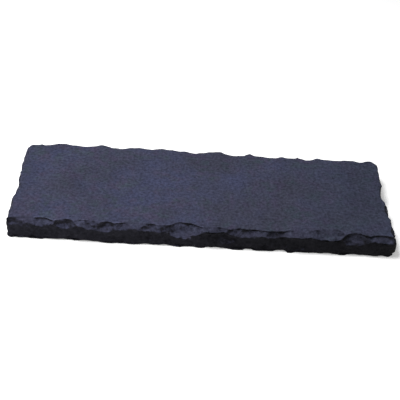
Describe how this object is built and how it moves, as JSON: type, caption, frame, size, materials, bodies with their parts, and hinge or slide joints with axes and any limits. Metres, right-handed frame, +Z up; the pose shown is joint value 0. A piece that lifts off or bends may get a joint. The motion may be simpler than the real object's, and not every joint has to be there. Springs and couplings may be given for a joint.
{
  "type": "rock-faced stone slab",
  "caption": "Long flat basalt slab with a fine-grained flat top, a flat underside and hand-broken, flake-scarred edges all round.",
  "frame": {"origin": "middle of the flat underside, on the surface that the slab rests on", "axes": "+X along the length, towards the right end as the front edge is looked at; -Y out of the front edge; +Z up"},
  "size_m": [1, 0.35, 0.06],
  "materials": {
    "basalt": "dull, dry, fine-grained dark blue-grey stone, a little darker and rougher on the broken edges"
  },
  "bodies": {
    "root": {"basalt_slab": "basalt"}
  },
  "joints": []
}
